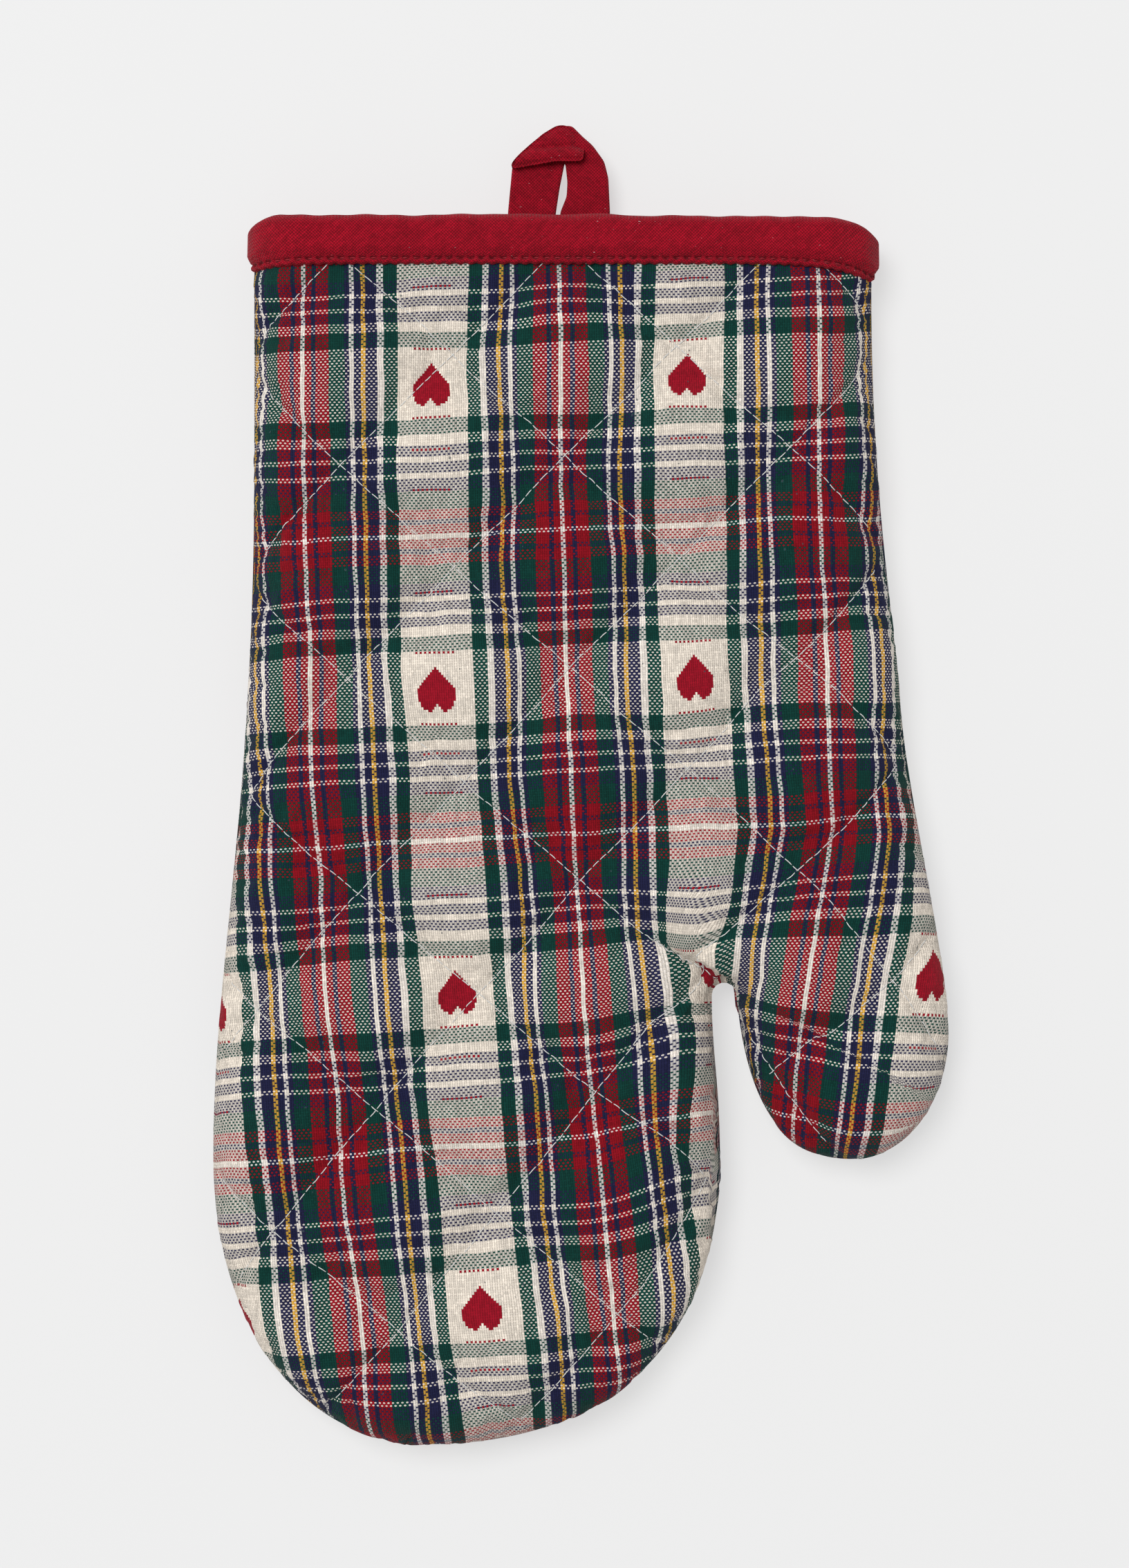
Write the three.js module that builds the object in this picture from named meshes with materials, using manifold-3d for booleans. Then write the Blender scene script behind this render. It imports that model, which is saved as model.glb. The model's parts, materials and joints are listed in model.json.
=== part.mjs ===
// Quilted oven mitt lying flat: +X towards the thumb, +Y towards the mouth of the cuff, +Z up.
// Millimetres. Both walls are an outer fabric, a wadding and a lining. The walls are cut at the lines where the
// mitt flexes, so that the fingers, the thumb, the mouth's front wall and the hanging loop can move.
import * as THREE from 'three';
import { mergeVertices } from 'three/addons/utils/BufferGeometryUtils.js';
import Module from 'manifold-3d';

const wasm = await Module();
wasm.setup();

// ---- Driving dimensions ----
const mittLength = 300;         // binding edge to fingertip
const mittHeight = 22;          // both walls and the hand space, at the middle
const seamZ = mittHeight / 2;   // height of the side seam above the table
const clearance = 0.3;          // between neighbouring pieces
const fabric = 1.0;             // outer fabric and lining thickness
const wadding = 4.0;
const shoulder = 15;            // how far in from the seam a wall becomes flat

// Depths of each layer's two faces below the outer face
const outerLayer = [0, fabric];
const waddingLayer = [fabric + clearance, fabric + clearance + wadding];
const liningLayer = [waddingLayer[1] + clearance, waddingLayer[1] + clearance + fabric];
const wallDepth = liningLayer[1];

// Outline, from the middle of the mouth: x across, y negative towards the fingertips
const cuffHalfWidth = 75.2;
const fingerLeft = -85.2;
const fingerRight = 39;
const fingerTipX = -33;
const knuckleY = -230;          // where both finger edges are straight
const crotch = { x: 40, y: -191.3, radius: 3.8 };
const thumbTip = { x: 71, y: -230.5 };
const thumbRight = { x: 94, y: -200 };
const overrun = 30;             // the walls are modelled past the mouth, then cut there

// Flex lines
const knuckles = new THREE.Vector3(0, -205, seamZ);               // the fingers' hinge line runs through here along X
const thumbBase = new THREE.Vector3(55, -193, seamZ);             // the thumb's hinge line runs through here
const thumbLine = new THREE.Vector3(42.5, 65, 0).normalize();     // and in this direction
const fingerCurl = { up: 75, down: 20, gap: 0.8 };                // degrees, and half the gap on the line
const thumbFold = { up: 40, down: 15, gap: 0.8 };
const notchX = 41.5;                                              // between the fingers and the thumb
const mouthLineY = -100;
const mouthGap = 0.7;

// Binding, stitching and hanging loop
const bindingHeight = 14;
const bindingEnd = 1.3;         // thickness of tape over the mouth's edge
const stitchY = -12.2;
const stitchWidth = 0.6;
const stitchDepth = 0.4;
const tape = { thickness: 1.8, slitHalf: 2.4, left: -12.8, right: 11.6 };
const loopTop = { x: 1.2, y: 21.1 };
const loopPivotY = 1.6;         // the tape bends here, just outside the mouth
const tapeZ = seamZ - (mittHeight / 2 - wallDepth) + clearance;   // the tape lies on the back wall's lining

// ---- Colours ----
const finish = (color, roughness = 0.9) => new THREE.MeshStandardMaterial({ color, roughness, metalness: 0 });
const plaid = finish('#8c3a35');
const cotton = finish('#e9dfcb');
const fleece = finish('#f4f2ea', 1);
const redTape = finish('#9e1828', 0.8);
const redThread = finish('#8a1020', 0.6);

// ---- Solids ----
function toSolid(geometry) {
  geometry.deleteAttribute('normal');
  geometry.deleteAttribute('uv');
  const merged = mergeVertices(geometry, 1e-4);
  const vertProperties = new Float32Array(merged.attributes.position.array);
  const triVerts = new Uint32Array(merged.index.array);
  return new wasm.Manifold(new wasm.Mesh({ numProp: 3, vertProperties, triVerts }));
}

function toGeometry(solid) {
  const mesh = solid.getMesh();
  const geometry = new THREE.BufferGeometry();
  geometry.setAttribute('position', new THREE.BufferAttribute(mesh.vertProperties, 3));
  geometry.setIndex(new THREE.BufferAttribute(mesh.triVerts, 1));
  geometry.computeVertexNormals();
  return geometry;
}

function block(min, max) {
  const size = new THREE.Vector3().subVectors(max, min);
  const middle = new THREE.Vector3().addVectors(min, max).multiplyScalar(0.5);
  return toSolid(new THREE.BoxGeometry(size.x, size.y, size.z).translate(middle.x, middle.y, middle.z));
}

// A slab right across the mitt, between two heights of y
function band(yLow, yHigh) {
  const reach = mittLength;
  return block(new THREE.Vector3(-reach, yLow, -reach), new THREE.Vector3(reach, yHigh, reach));
}

// Takes away everything beyond a plane, on the side its normal points to
function cutBeyond(solid, point, normal) {
  const reach = 3 * mittLength;
  const turn = new THREE.Quaternion().setFromUnitVectors(new THREE.Vector3(0, 0, 1), normal.clone().normalize());
  const waste = new THREE.BoxGeometry(reach, reach, reach).translate(0, 0, reach / 2).applyQuaternion(turn);
  return solid.subtract(toSolid(waste.translate(point.x, point.y, point.z)));
}

// ---- Outline ----
function mittOutline() {
  const path = new THREE.Path();
  path.moveTo(-cuffHalfWidth, overrun);
  path.lineTo(-cuffHalfWidth, -60);
  path.bezierCurveTo(-cuffHalfWidth, -120, fingerLeft, -175, fingerLeft, knuckleY);
  path.bezierCurveTo(fingerLeft, -275, -66, -mittLength, fingerTipX, -mittLength);
  path.bezierCurveTo(12, -mittLength, fingerRight, -278, fingerRight, knuckleY);
  path.bezierCurveTo(fingerRight, -212, crotch.x - crotch.radius, -205, crotch.x - crotch.radius, crotch.y);
  path.absarc(crotch.x, crotch.y, crotch.radius, Math.PI, 0, true);
  path.bezierCurveTo(44.5, -212, 52, thumbTip.y, thumbTip.x, thumbTip.y);
  path.bezierCurveTo(87, thumbTip.y, thumbRight.x, -216, thumbRight.x, thumbRight.y);
  path.bezierCurveTo(93.5, -178, 83, -140, 82, -115);
  path.bezierCurveTo(80, -95, cuffHalfWidth, -65, cuffHalfWidth, -20);
  path.lineTo(cuffHalfWidth, overrun);
  const stepsPerCurve = 6;
  return path.getPoints(stepsPerCurve);
}

// The outline moved inwards by a distance, corners mitred. Its points run anticlockwise seen from above.
function insetOutline(outline, distance) {
  return outline.map((point, i) => {
    const before = outline[(i + outline.length - 1) % outline.length];
    const after = outline[(i + 1) % outline.length];
    const first = new THREE.Vector2().subVectors(point, before).normalize();
    const second = new THREE.Vector2().subVectors(after, point).normalize();
    const inward = new THREE.Vector2(-first.y - second.y, first.x + second.x).normalize();
    const mitre = inward.dot(new THREE.Vector2(-first.y, first.x));
    return inward.multiplyScalar(distance / mitre).add(point);
  });
}

const outline = mittOutline();

// ---- Walls ----
// A layer's face as [distance in from the outline, height above the seam], a quarter ellipse at a constant depth
function wallProfile(depth) {
  const steps = 3;
  const rise = mittHeight / 2;
  const rim = clearance / 2;
  const face = [[depth, rim]];
  for (let i = 1; i <= steps; i += 1) {
    const angle = (i / steps) * (Math.PI / 2);
    const out = new THREE.Vector2(-Math.cos(angle) * rise, Math.sin(angle) * shoulder).normalize();
    const inset = shoulder * (1 - Math.cos(angle)) - out.x * depth;
    const height = rise * Math.sin(angle) - out.y * depth;
    if (height > rim) face.push([inset, height]);
  }
  return face;
}

// Skins a row of rings, each an inset and a height above the seam, and closes the first and last with flat faces
function ringSolid(profile) {
  const rings = profile.map(([inset]) => insetOutline(outline, inset));
  const count = outline.length;
  const positions = [];
  rings.forEach((ring, k) => ring.forEach((point) => positions.push(point.x, point.y, seamZ + profile[k][1])));
  const index = [];
  for (let k = 0; k + 1 < rings.length; k += 1) {
    for (let j = 0; j < count; j += 1) {
      const next = (j + 1) % count;
      const [a, b, c, d] = [k * count + j, k * count + next, (k + 1) * count + next, (k + 1) * count + j];
      index.push(a, d, b, b, d, c);
    }
  }
  const last = (rings.length - 1) * count;
  THREE.ShapeUtils.triangulateShape(rings[0], []).forEach(([a, b, c]) => index.push(a, b, c));
  THREE.ShapeUtils.triangulateShape(rings[rings.length - 1], [])
    .forEach(([a, b, c]) => index.push(last + c, last + b, last + a));
  const geometry = new THREE.BufferGeometry();
  geometry.setAttribute('position', new THREE.Float32BufferAttribute(positions, 3));
  geometry.setIndex(index);
  return toSolid(geometry);
}

// The whole front or back wall of one layer, open towards the seam like a shallow dish
function layerSolid([outerDepth, innerDepth], isFront) {
  const profile = [...wallProfile(outerDepth).reverse(), ...wallProfile(innerDepth)];
  if (isFront) return ringSolid(profile);
  return ringSolid(profile.map(([inset, height]) => [inset, -height]).reverse());
}

// The margins of both walls, sewn together and turned inside, round the whole seam
function seamAllowanceSolid() {
  const [start, thick, end, half] = [wallDepth + 0.4, wallDepth + 3, wallDepth + 9, 1.4];
  const disc = ringSolid([[thick, half], [start, 0.1], [start, -0.1], [thick, -half]]);
  const middle = ringSolid([[end, 2 * half], [end, -2 * half]]);
  return disc.subtract(middle);
}

// ---- Cuts between the moving parts ----
const degrees = THREE.MathUtils.degToRad;

// Cuts a solid back from a hinge line, leaning its end by half of the fold. Side points at the waste.
function cutAtFold(solid, hinge, side, fold) {
  const start = hinge.clone().addScaledVector(side, -fold.gap);
  const up = degrees(fold.up / 2);
  const down = degrees(fold.down / 2);
  const upper = side.clone().multiplyScalar(Math.cos(up)).setZ(Math.sin(up));
  const lower = side.clone().multiplyScalar(Math.cos(down)).setZ(-Math.sin(down));
  return cutBeyond(cutBeyond(solid, start, upper), start, lower);
}

const towardsMouth = new THREE.Vector3(0, 1, 0);
const towardsTips = new THREE.Vector3(0, -1, 0);
const towardsThumb = new THREE.Vector3(thumbLine.y, -thumbLine.x, 0);
const towardsPalm = towardsThumb.clone().negate();
const towardsLeft = new THREE.Vector3(-1, 0, 0);
const towardsRight = new THREE.Vector3(1, 0, 0);
const notch = new THREE.Vector3(notchX, 0, 0);

const cuts = {
  palm(solid) {
    const mouthSide = cutAtFold(solid, knuckles, towardsTips, fingerCurl);
    return cutAtFold(mouthSide, thumbBase, towardsThumb, thumbFold);
  },
  fingers: (solid) => cutBeyond(cutAtFold(solid, knuckles, towardsMouth, fingerCurl), notch, towardsRight),
  thumb: (solid) => cutBeyond(cutAtFold(solid, thumbBase, towardsPalm, thumbFold), notch, towardsLeft),
};

// ---- Sub-parts ----
const parts = [];
const add = (name, solid, material) => parts.push({ name, solid, material });

const layers = [
  { name: 'outer', depths: outerLayer, material: plaid, mouthEnd: -bindingHeight - clearance },
  { name: 'wadding', depths: waddingLayer, material: fleece, mouthEnd: -bindingEnd - clearance },
  { name: 'lining', depths: liningLayer, material: cotton, mouthEnd: -bindingHeight - clearance },
];

function addWall(side, layer) {
  const whole = layerSolid(layer.depths, side === 'front').intersect(band(-2 * mittLength, layer.mouthEnd));
  const palm = cuts.palm(whole);
  add(`${side}_${layer.name}_fingers`, cuts.fingers(whole), layer.material);
  add(`${side}_${layer.name}_thumb`, cuts.thumb(whole), layer.material);
  if (side === 'back') {
    add(`back_${layer.name}_palm`, palm, layer.material);
    return;
  }
  add(`front_${layer.name}_palm`, palm.intersect(band(-2 * mittLength, mouthLineY - mouthGap)), layer.material);
  add(`front_${layer.name}_cuff`, palm.intersect(band(mouthLineY + mouthGap, mittLength)), layer.material);
}

// Tape folded over the mouth's edge, with a row of stitches sunk in a groove near its lower edge
function addBinding(side) {
  const isFront = side === 'front';
  const legs = layerSolid(outerLayer, isFront).add(layerSolid(liningLayer, isFront));
  const end = layerSolid([0, wallDepth], isFront).intersect(band(-bindingEnd, 0));
  const fold = legs.intersect(band(-bindingHeight, -bindingEnd / 2)).add(end);
  const inStitchLine = (half) => band(stitchY - half, stitchY + half);
  const grooveDepth = stitchDepth + clearance;
  const groove = layerSolid([-fabric, grooveDepth], isFront).intersect(inStitchLine(stitchWidth / 2 + clearance));
  add(`${side}_binding`, fold.subtract(groove), redTape);
  const thread = layerSolid([0, stitchDepth], isFront).intersect(inStitchLine(stitchWidth / 2));
  add(`${side}_binding_topstitch`, thread, redThread);
}

function addSeamAllowance() {
  const whole = seamAllowanceSolid().intersect(band(-2 * mittLength, -bindingEnd - clearance));
  const palm = cuts.palm(whole);
  const middle = new THREE.Vector3();
  const aroundCrotch = band(-mittLength, crotch.y + 1.6 * shoulder);
  const thumbSide = palm.subtract(aroundCrotch);
  add('seam_allowance_palm_left', cutBeyond(palm, middle, towardsRight), cotton);
  add('seam_allowance_palm_right', cutBeyond(thumbSide, middle, towardsLeft), cotton);
  add('seam_allowance_crotch', cutBeyond(palm.intersect(aroundCrotch), middle, towardsLeft), cotton);
  add('seam_allowance_fingers', cuts.fingers(whole), cotton);
  add('seam_allowance_thumb', cuts.thumb(whole), cotton);
}

function tapeSolid(shape, z) {
  const flat = new THREE.ExtrudeGeometry(shape, { depth: tape.thickness, bevelEnabled: false, curveSegments: 6 });
  return toSolid(flat.translate(0, 0, z));
}

// A length of tape folded to a point, its two legs side by side with a slit between them for the hook
function addHangingLoop() {
  const legTop = 11.5;
  const slitTop = 13;
  const shape = new THREE.Shape();
  shape.moveTo(tape.left, loopPivotY);
  shape.lineTo(-tape.slitHalf, loopPivotY);
  shape.lineTo(-tape.slitHalf, slitTop);
  shape.absarc(0, slitTop, tape.slitHalf, Math.PI, 0, true);
  shape.lineTo(tape.slitHalf, loopPivotY);
  shape.lineTo(tape.right, loopPivotY);
  shape.lineTo(tape.right - 0.6, legTop);
  shape.quadraticCurveTo(7.5, 18, loopTop.x + 2, loopTop.y - 0.4);
  shape.quadraticCurveTo(loopTop.x, loopTop.y + 0.4, loopTop.x - 2.5, loopTop.y - 0.9);
  shape.lineTo(tape.left + 0.4, legTop);
  add('hanging_loop', tapeSolid(shape, tapeZ), redTape);
}

// The loop's two ends, lying inside the mouth on the back wall, each held by a bar of stitches
function addLoopEnds() {
  const depth = 12;
  const bar = { y: -8, width: 1.6, height: 0.6 };
  const legs = [[tape.left, -tape.slitHalf], [tape.slitHalf, tape.right]];
  legs.forEach(([low, high], i) => {
    const z = tapeZ + tape.thickness;
    add(`loop_end_${i + 1}`, block(new THREE.Vector3(low, -depth, tapeZ), new THREE.Vector3(high, 0, z)), redTape);
    const from = new THREE.Vector3(low + 1, bar.y, z + clearance);
    const to = new THREE.Vector3(high - 1, bar.y + bar.width, z + clearance + bar.height);
    add(`loop_bar_tack_${i + 1}`, block(from, to), redThread);
  });
}

['back', 'front'].forEach((side) => {
  layers.forEach((layer) => addWall(side, layer));
  addBinding(side);
});
addSeamAllowance();
addHangingLoop();
addLoopEnds();

// ---- Assembly, with the origin under the middle of the whole mitt ----
const mitt = new THREE.Group();
parts.forEach(({ name, solid, material }) => {
  const mesh = new THREE.Mesh(toGeometry(solid), material);
  mesh.name = name;
  mitt.add(mesh);
});
const middleX = (fingerLeft + thumbRight.x) / 2;
const middleY = (loopTop.y - mittLength) / 2;
mitt.position.set(-middleX, -middleY, 0);

export default mitt;
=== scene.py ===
"""Quilted plaid oven mitt, lying flat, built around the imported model.

Lengths are in millimetres in a local frame, and become metres when a mesh is made: x from the middle of the
mouth, y from the binding's edge (negative towards the fingertips), z from the side seam.
"""
import json
import math
from functools import partialmethod

import bpy
import numpy as np
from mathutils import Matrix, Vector
from mathutils.bvhtree import BVHTree
from mathutils.geometry import delaunay_2d_cdt
from mathutils.interpolate import poly_3d_calc

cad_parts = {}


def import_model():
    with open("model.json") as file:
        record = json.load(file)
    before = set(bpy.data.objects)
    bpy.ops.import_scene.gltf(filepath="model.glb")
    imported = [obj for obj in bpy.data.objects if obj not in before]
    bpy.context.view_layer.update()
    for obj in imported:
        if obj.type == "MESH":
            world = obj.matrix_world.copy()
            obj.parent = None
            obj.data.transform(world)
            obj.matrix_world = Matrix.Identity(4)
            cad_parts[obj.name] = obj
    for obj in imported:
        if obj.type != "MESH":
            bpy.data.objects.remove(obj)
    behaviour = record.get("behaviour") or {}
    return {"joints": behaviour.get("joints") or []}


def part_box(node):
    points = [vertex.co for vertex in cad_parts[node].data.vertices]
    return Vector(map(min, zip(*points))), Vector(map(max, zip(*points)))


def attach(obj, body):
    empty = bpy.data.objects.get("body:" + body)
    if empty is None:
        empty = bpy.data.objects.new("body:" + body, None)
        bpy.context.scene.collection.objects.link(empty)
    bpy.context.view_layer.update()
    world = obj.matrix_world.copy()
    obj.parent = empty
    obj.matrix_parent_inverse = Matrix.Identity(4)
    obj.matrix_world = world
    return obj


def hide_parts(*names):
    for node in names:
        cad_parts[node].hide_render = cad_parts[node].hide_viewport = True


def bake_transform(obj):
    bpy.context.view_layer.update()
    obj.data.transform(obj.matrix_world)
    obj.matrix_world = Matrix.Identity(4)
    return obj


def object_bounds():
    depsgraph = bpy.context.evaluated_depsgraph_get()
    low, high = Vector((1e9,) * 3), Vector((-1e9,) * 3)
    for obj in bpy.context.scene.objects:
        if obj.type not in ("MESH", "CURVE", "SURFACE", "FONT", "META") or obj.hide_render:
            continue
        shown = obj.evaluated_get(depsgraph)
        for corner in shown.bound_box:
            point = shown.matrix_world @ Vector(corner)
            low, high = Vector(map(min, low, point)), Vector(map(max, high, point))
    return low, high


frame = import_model()
cad_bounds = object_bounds()
scene = bpy.context.scene

# ---- The frame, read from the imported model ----
MM = 0.001
binding_lo, binding_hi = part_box("front_binding")
fingers_lo, fingers_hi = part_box("front_outer_fingers")
thumb_lo, thumb_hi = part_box("front_outer_thumb")
loop_lo, loop_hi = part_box("hanging_loop")
joints = {joint["name"]: joint for joint in frame["joints"]}

middle_x, middle_z = (binding_lo.x + binding_hi.x) / 2, (cad_bounds[0].z + cad_bounds[1].z) / 2
ORIGIN = np.array([middle_x, binding_hi.y, middle_z]) / MM


def local(point):
    return np.array(point) / MM - ORIGIN


def world(points):
    return (np.asarray(points, float) + ORIGIN) * MM


HALF_HEIGHT = (cad_bounds[1].z - cad_bounds[0].z) / MM / 2
CUFF_HALF_WIDTH = (binding_hi.x - binding_lo.x) / MM / 2
FINGER_LEFT, FINGER_TIP = local(fingers_lo)[:2]
FINGER_RIGHT = local(fingers_hi)[0]
THUMB_TIP = local(thumb_lo)[1]
THUMB_RIGHT = local(thumb_hi)[0]
THUMB_BASE = local(joints["thumb_fold"]["pos_m"])
THUMB_LINE = -np.array(joints["thumb_fold"]["axis"])[:2]

# ---- Driving sizes ----
SHOULDER = 15.0          # how far in from the seam a wall becomes flat
WALL_DEPTH = 6.6         # from the outer fabric to the lining
CAVITY = 4.4             # half the height of the space for the hand
STEP = 1.35              # mesh spacing of the walls
OVERRUN = 12.0           # walls are meshed past the mouth, then cut
WALL_END = -9.0          # the walls are cut off here, inside the binding
CROTCH = np.array([39.3, -190.5])
CROTCH_RADIUS = 3.0
FINGER_TUCK = 0.7        # the fingers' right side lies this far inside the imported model's
BEND_REACH = 18.0        # the thumb's section is cut off this far from its hinge line, and 2 mm more

END_PITCH = 0.5405       # warp yarn spacing
PICK_PITCH = 0.6292      # weft yarn spacing
HEART_U, HEART_V = -32.0, 41.7           # the first heart, in cloth coordinates, v down
QUILT_U, QUILT_V = 0.5, 60.5             # a crossing of the quilting lines, in cloth coordinates
QUILT_DU, QUILT_DV = 27.4, 26.1          # half diagonals of the quilted diamonds
PUFF = 2.4               # height of a diamond's middle above its quilting lines

SIDES = {"front": 1, "back": -1}


# ---- Curves and outlines ----
def resample(points, spacing):
    lengths = np.linalg.norm(np.diff(points, axis=0), axis=1)
    along = np.concatenate([[0], np.cumsum(lengths)])
    count = max(2, int(round(along[-1] / spacing)) + 1)
    at = np.linspace(0, along[-1], count)
    return np.stack([np.interp(at, along, points[:, k]) for k in range(points.shape[1])], 1)


def line_along(start, legs):
    """A line from start along legs. Each leg is its end, or the two controls and the end of a curve."""
    parts = []
    t = np.linspace(0, 1, 200)[:, None]
    for leg in legs:
        p = np.array([start, *leg], float)
        if len(leg) > 1:
            p = (1 - t) ** 3 * p[0] + 3 * (1 - t) ** 2 * t * p[1] + 3 * (1 - t) * t**2 * p[2] + t**3 * p[3]
        parts.append(resample(p, STEP)[:-1])
        start = leg[-1]
    return np.concatenate(parts)


def mitt_outline():
    """The side seam, anticlockwise seen from above, closed across the overrun past the mouth."""
    wide, tip, thumb_tip = CUFF_HALF_WIDTH, FINGER_TIP, THUMB_TIP
    finger_left, finger_right = FINGER_LEFT, FINGER_RIGHT - FINGER_TUCK
    fingers_widest, thumb_widest = -230, -200
    left, right = CROTCH[0] - CROTCH_RADIUS, CROTCH[0] + CROTCH_RADIUS
    angle = np.radians(np.linspace(180, 0, 60))
    crotch = CROTCH + CROTCH_RADIUS * np.stack([np.cos(angle), np.sin(angle)], 1)
    fingers = line_along((-wide, OVERRUN), [
        [(-wide, -60)],
        [(-wide, -148), (finger_left, -182), (finger_left, fingers_widest)],
        [(finger_left, -272), (-63, tip), (-33, tip)],
        [(12, tip), (finger_right, -275), (finger_right, fingers_widest)],
        [(finger_right, -212), (left, -205), (left, CROTCH[1])],
    ])
    thumb = line_along((right, CROTCH[1]), [
        [(44.3, -212), (50.8, thumb_tip), (70, thumb_tip)],
        [(85.6, thumb_tip), (THUMB_RIGHT, -214), (THUMB_RIGHT, thumb_widest)],
        [(93.5, -178), (83, -140), (82, -115)],
        [(80, -95), (wide, -65), (wide, -20)],
        [(wide, OVERRUN)],
        [(-wide, OVERRUN)],
    ])
    return np.concatenate([fingers, resample(crotch, STEP)[:-1], thumb])


def unit(vectors):
    return vectors / np.linalg.norm(vectors, axis=1)[:, None]


def inset(outline, distance):
    """The outline moved inwards, corners mitred."""
    after = unit(np.roll(outline, -1, 0) - outline)[:, ::-1] * (-1, 1)
    before = np.roll(after, 1, 0)
    inward = unit(before + after)
    mitre = (inward * before).sum(1)
    return outline + inward * (distance / mitre)[:, None]


def nearest_on(outline, points):
    """Each point's distance from the outline and the unit vector from the outline to the point."""
    start, along = outline, np.roll(outline, -1, 0) - outline
    squared = (along**2).sum(1)
    distance, inward = np.empty(len(points)), np.empty((len(points), 2))
    for k in range(0, len(points), 1000):
        p = points[k:k + 1000]
        offset = p[:, None] - start[None]
        t = np.clip((offset * along).sum(2) / squared, 0, 1)
        gap = offset - t[:, :, None] * along
        size = np.sqrt((gap**2).sum(2))
        best = size.argmin(1)
        rows = np.arange(len(p))
        distance[k:k + 1000] = size[rows, best]
        inward[k:k + 1000] = gap[rows, best]
    return distance, inward / np.maximum(distance, 1e-9)[:, None]


def inside(outline, points):
    x0, y0 = outline.T
    x1, y1 = np.roll(outline, -1, 0).T
    result = np.zeros(len(points), bool)
    for k in range(0, len(points), 1000):
        x, y = points[k:k + 1000].T[:, :, None]
        crosses = (y0 > y) != (y1 > y)
        rise = np.where(y1 == y0, 1, y1 - y0)
        result[k:k + 1000] = (crosses & (x < (x1 - x0) * (y - y0) / rise + x0)).sum(1) % 2 == 1
    return result


# ---- Flat meshes inside an outline ----
class Profile:
    """A rounded edge: a quarter ellipse that rises to height over reach, then flat."""

    def __init__(self, reach, height):
        self.reach, self.height = reach, height
        self.angle = np.linspace(0, math.pi / 2, 400)
        sides = np.hypot(reach * np.diff(-np.cos(self.angle)), height * np.diff(np.sin(self.angle)))
        self.length = np.concatenate([[0], np.cumsum(sides)])

    def inset_at(self, length):
        return self.reach * (1 - np.cos(np.interp(length, self.length, self.angle)))

    def at(self, distance):
        """Angle up the edge, and arc length from the seam, at a distance in from the outline."""
        angle = np.arccos(np.clip(1 - distance / self.reach, 0, 1))
        return angle, np.interp(angle, self.angle, self.length) + np.maximum(distance - self.reach, 0)


class Sheet:
    """A flat mesh inside an outline: rings of quads inwards from the outline itself, then triangles."""

    def __init__(self, outline, profile, step, rings):
        count = len(outline)
        bands = [inset(outline, profile.inset_at(k * step)) for k in range(rings + 1)]
        inner = bands[-1]
        low, high = inner.min(0), inner.max(0)
        across = np.arange(low[0], high[0], step)
        rows = np.arange(low[1], high[1], step * math.sqrt(3) / 2)
        grid = np.concatenate([np.column_stack([across + (k % 2) * step / 2, np.full(len(across), row)])
                               for k, row in enumerate(rows)])
        grid = grid[inside(inner, grid)]
        grid = grid[nearest_on(inner, grid)[0] > 0.6 * step]
        given = np.concatenate([inner, grid])
        edges = [(k, (k + 1) % count) for k in range(count)]
        found = delaunay_2d_cdt([Vector(p) for p in given], edges, [], 1, 1e-5)
        crossings = [tuple(point) for point, original in zip(found[0], found[3]) if not original]
        extra = iter(range(len(given), len(given) + len(crossings)))
        source = [original[0] if original else next(extra) for original in found[3]]
        offset = rings * count
        self.points = np.concatenate([*bands[:-1], given, np.reshape(crossings, (-1, 2))])
        self.faces = [[offset + source[v] for v in face] for face in found[2]]
        for k in range(rings):
            self.faces += band_faces(k * count, (k + 1) * count, count)
        self.rim = np.arange(len(self.points)) < count


def band_faces(first, second, count):
    """Quads between two closed rings of vertices, given the number of each ring's first vertex."""
    return [[first + j, first + (j + 1) % count, second + (j + 1) % count, second + j] for j in range(count)]


def cut(sheet, point, normal, drop=False):
    """Splits the sheet's faces along a line. With drop, those that the normal points to are taken away."""
    point, normal = np.array(point, float), np.array(normal, float)
    side = (sheet.points - point) @ normal
    side[np.abs(side) < 0.02] = 0
    points, rim, new = list(sheet.points), list(sheet.rim), {}
    faces = []
    for face in sheet.faces:
        signs = side[face]
        if signs.min() >= 0 or signs.max() <= 0:
            faces.append(face)
            continue
        halves = ([], [])
        for a, b in zip(face, face[1:] + face[:1]):
            if side[a] >= 0:
                halves[0].append(a)
            if side[a] <= 0:
                halves[1].append(a)
            if side[a] * side[b] < 0:
                key = (min(a, b), max(a, b))
                if key not in new:
                    t = side[a] / (side[a] - side[b])
                    new[key] = len(points)
                    points.append(sheet.points[a] * (1 - t) + sheet.points[b] * t)
                    rim.append(rim[a] and rim[b])
                halves[0].append(new[key])
                halves[1].append(new[key])
        faces.extend(half for half in halves if len(half) > 2)
    sheet.points, sheet.rim, sheet.faces = np.array(points), np.array(rim), faces
    if drop:
        side = (sheet.points - point) @ normal
        sheet.faces = [face for face in faces if side[face].max() < 0.03]


# ---- Meshes ----
def link_object(name, data):
    thing = bpy.data.objects.new(name, data)
    scene.collection.objects.link(thing)
    return thing


def link_mesh(name, places, faces):
    """An object of the faces and the vertices they use, and the numbers of those vertices."""
    used = np.unique(np.concatenate([np.asarray(face) for face in faces]))
    renumber = np.full(len(places), -1)
    renumber[used] = np.arange(len(used))
    mesh = bpy.data.meshes.new(name)
    mesh.from_pydata(places[used].tolist(), [], [renumber[face].tolist() for face in faces])
    return link_object(name, mesh), used


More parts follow.
